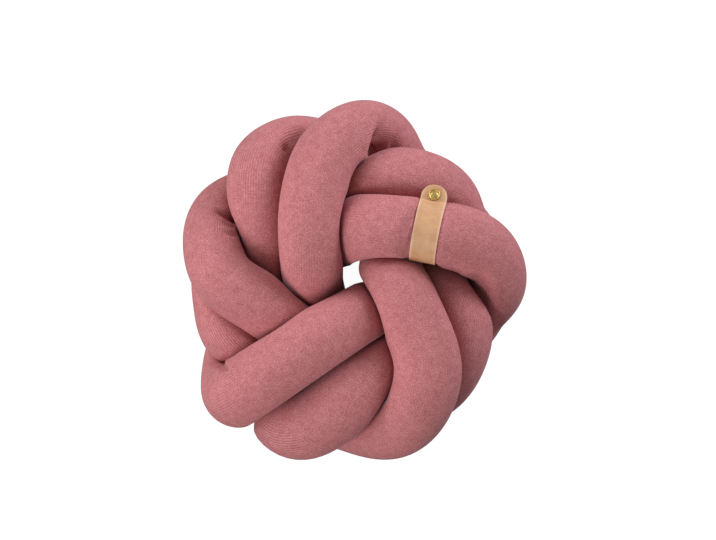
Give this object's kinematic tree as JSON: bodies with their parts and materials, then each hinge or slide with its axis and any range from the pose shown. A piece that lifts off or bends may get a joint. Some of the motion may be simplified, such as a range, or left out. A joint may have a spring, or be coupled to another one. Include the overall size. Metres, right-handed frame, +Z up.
{
  "type": "knot cushion",
  "caption": "Round knot cushion: one stuffed fine-knit tube tied into a pinwheel of crossing arms, with a narrow leather strap round one arm and a small brass stud",
  "frame": {"origin": "on the ground under the middle of the cushion's overall box", "axes": "+Z up out of the cushion's face as it lies on its back, +Y towards the top of the face as it is pictured, +X to the right of the face"},
  "size_m": [0.2937, 0.3076, 0.1597],
  "materials": {
    "knit_cotton": "matte, fine rib knit in mottled dusty pink",
    "natural_leather": "smooth, natural tan, slightly glossy",
    "brass": "polished"
  },
  "bodies": {
    "root": {"knit_tube": "knit_cotton", "leather_strap": "natural_leather", "brass_stud": "brass"}
  },
  "joints": []
}
